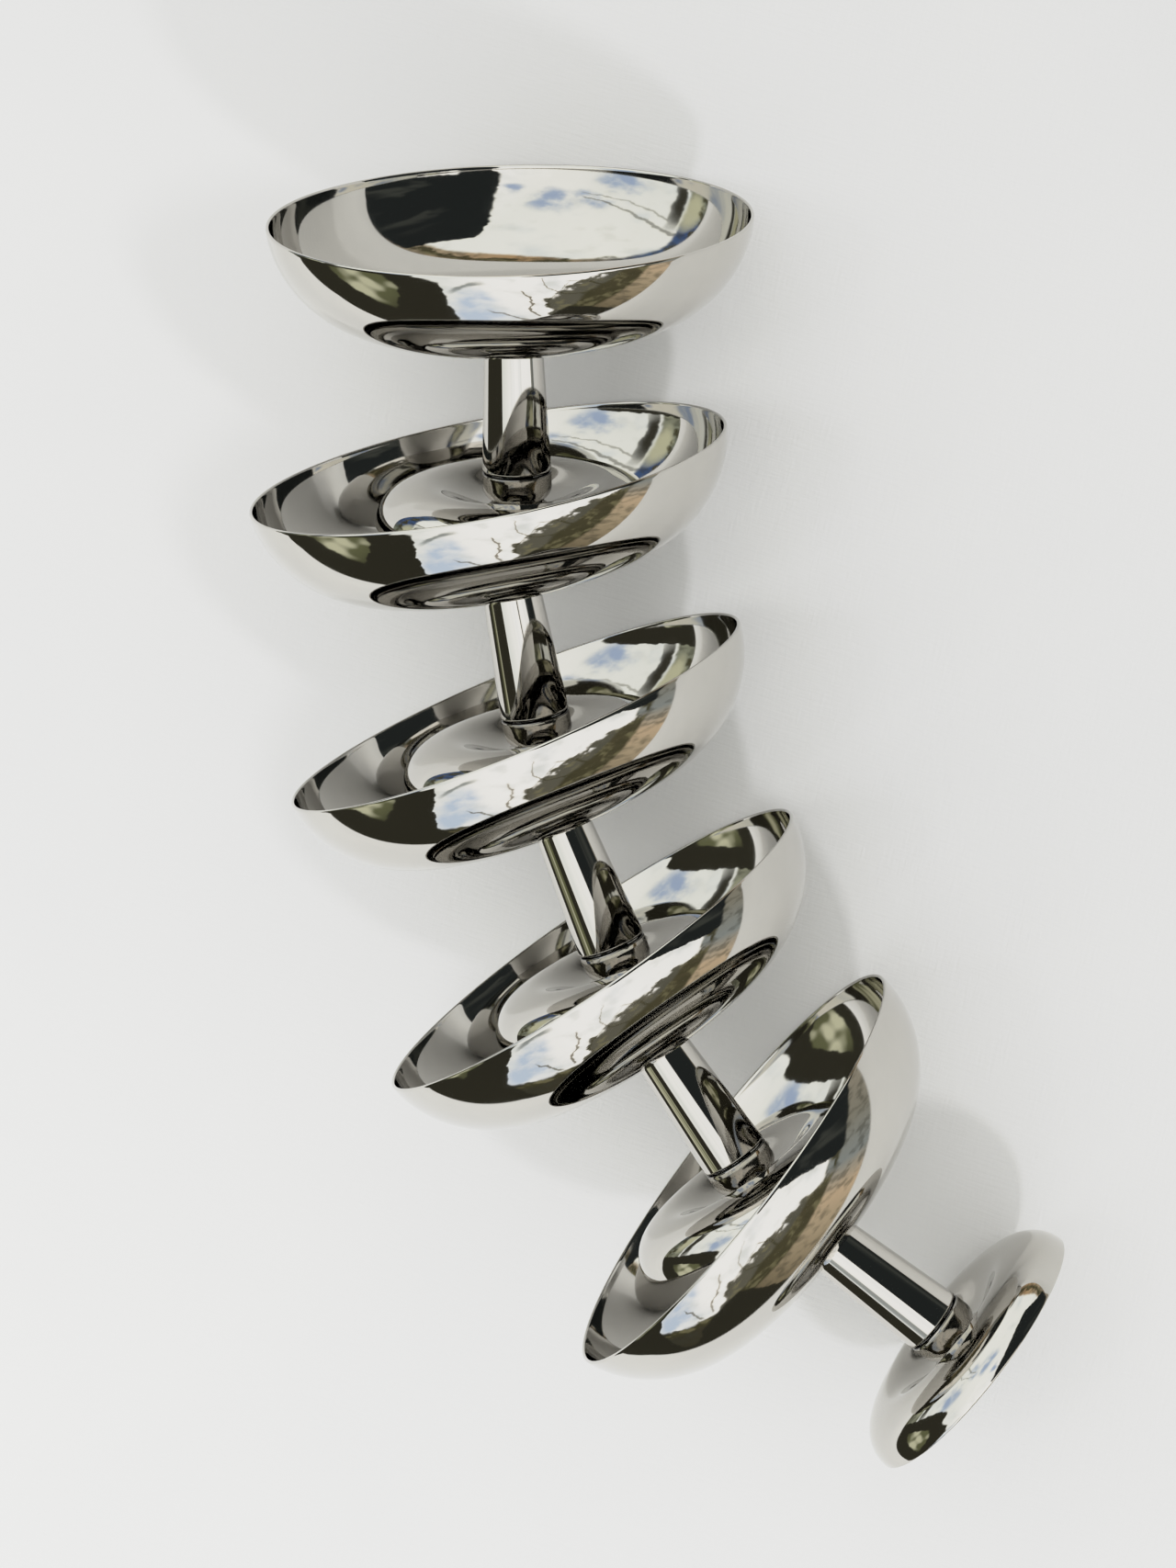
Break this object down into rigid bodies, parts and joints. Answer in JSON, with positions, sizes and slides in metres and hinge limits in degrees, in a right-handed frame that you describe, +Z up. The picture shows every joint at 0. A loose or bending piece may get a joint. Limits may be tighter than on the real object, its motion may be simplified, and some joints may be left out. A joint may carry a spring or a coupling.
{
  "type": "stack of footed bowls",
  "caption": "Polished steel footed dessert bowls lying in a curved nested stack, each foot standing inside the next bowl.",
  "frame": {"origin": "middle of the stack's outline seen from above, at the height of the table that it lies on", "axes": "+Z up from the table, +Y along the longest way of the stack towards the empty bowl, +X towards the free foot"},
  "size_m": [0.204, 0.2314, 0.0936],
  "materials": {
    "polished_steel": "mirror polish",
    "polished_tube": "mirror polish",
    "plain_steel": "plain turned"
  },
  "bodies": {
    "base_1": {"foot_1": "polished_steel", "collar_1": "polished_tube", "washer_1": "plain_steel", "foot_screw_1": "plain_steel"},
    "cup_1": {"bowl_1": "polished_steel", "stem_1": "polished_tube", "weld_boss_1": "plain_steel", "threaded_bush_1": "plain_steel"},
    "base_2": {"foot_2": "polished_steel", "collar_2": "polished_tube", "washer_2": "plain_steel", "foot_screw_2": "plain_steel"},
    "cup_2": {"bowl_2": "polished_steel", "stem_2": "polished_tube", "weld_boss_2": "plain_steel", "threaded_bush_2": "plain_steel"},
    "base_3": {"foot_3": "polished_steel", "collar_3": "polished_tube", "washer_3": "plain_steel", "foot_screw_3": "plain_steel"},
    "cup_3": {"bowl_3": "polished_steel", "stem_3": "polished_tube", "weld_boss_3": "plain_steel", "threaded_bush_3": "plain_steel"},
    "base_4": {"foot_4": "polished_steel", "collar_4": "polished_tube", "washer_4": "plain_steel", "foot_screw_4": "plain_steel"},
    "cup_4": {"bowl_4": "polished_steel", "stem_4": "polished_tube", "weld_boss_4": "plain_steel", "threaded_bush_4": "plain_steel"},
    "base_5": {"foot_5": "polished_steel", "collar_5": "polished_tube", "washer_5": "plain_steel", "foot_screw_5": "plain_steel"},
    "cup_5": {"bowl_5": "polished_steel", "stem_5": "polished_tube", "weld_boss_5": "plain_steel", "threaded_bush_5": "plain_steel"}
  },
  "joints": [
    {"name": "swing_1", "type": "hinge", "parent": "base_2", "child": "base_1", "pos_m": [-0.04062, 0.07065, 0.03574], "axis": [0, 0, 1], "range_deg": [-9, 9]},
    {"name": "swing_2", "type": "hinge", "parent": "base_3", "child": "base_2", "pos_m": [-0.02353, 0.02444, 0.03574], "axis": [0, 0, 1], "range_deg": [-9, 9]},
    {"name": "swing_3", "type": "hinge", "parent": "base_4", "child": "base_3", "pos_m": [-0.00439, -0.01322, 0.03574], "axis": [0, 0, 1], "range_deg": [-9, 9]},
    {"name": "swing_4", "type": "hinge", "parent": "base_5", "child": "base_4", "pos_m": [0.01622, -0.04733, 0.0333], "axis": [0, 0, 1], "range_deg": [-9, 9]},
    {"name": "unscrew_1", "type": "hinge", "parent": "base_1", "child": "cup_1", "pos_m": [-0.04275, 0.0439, 0.03574], "axis": [-0.2095, 0.9607, 0.1822], "range_deg": [0, 90]},
    {"name": "unscrew_2", "type": "hinge", "parent": "base_2", "child": "cup_2", "pos_m": [-0.02543, -0.0011, 0.03574], "axis": [-0.3683, 0.9117, 0.1822], "range_deg": [0, 90]},
    {"name": "unscrew_3", "type": "hinge", "parent": "base_3", "child": "cup_3", "pos_m": [0.00343, -0.03988, 0.03574], "axis": [-0.5555, 0.8113, 0.1822], "range_deg": [0, 90]},
    {"name": "unscrew_4", "type": "hinge", "parent": "base_4", "child": "cup_4", "pos_m": [0.03972, -0.07214, 0.0333], "axis": [-0.7091, 0.6705, 0.2181], "range_deg": [0, 90]},
    {"name": "unscrew_5", "type": "hinge", "parent": "base_5", "child": "cup_5", "pos_m": [0.0873, -0.09001, 0.02686], "axis": [-0.8545, 0.4168, 0.31], "range_deg": [0, 90]}
  ]
}
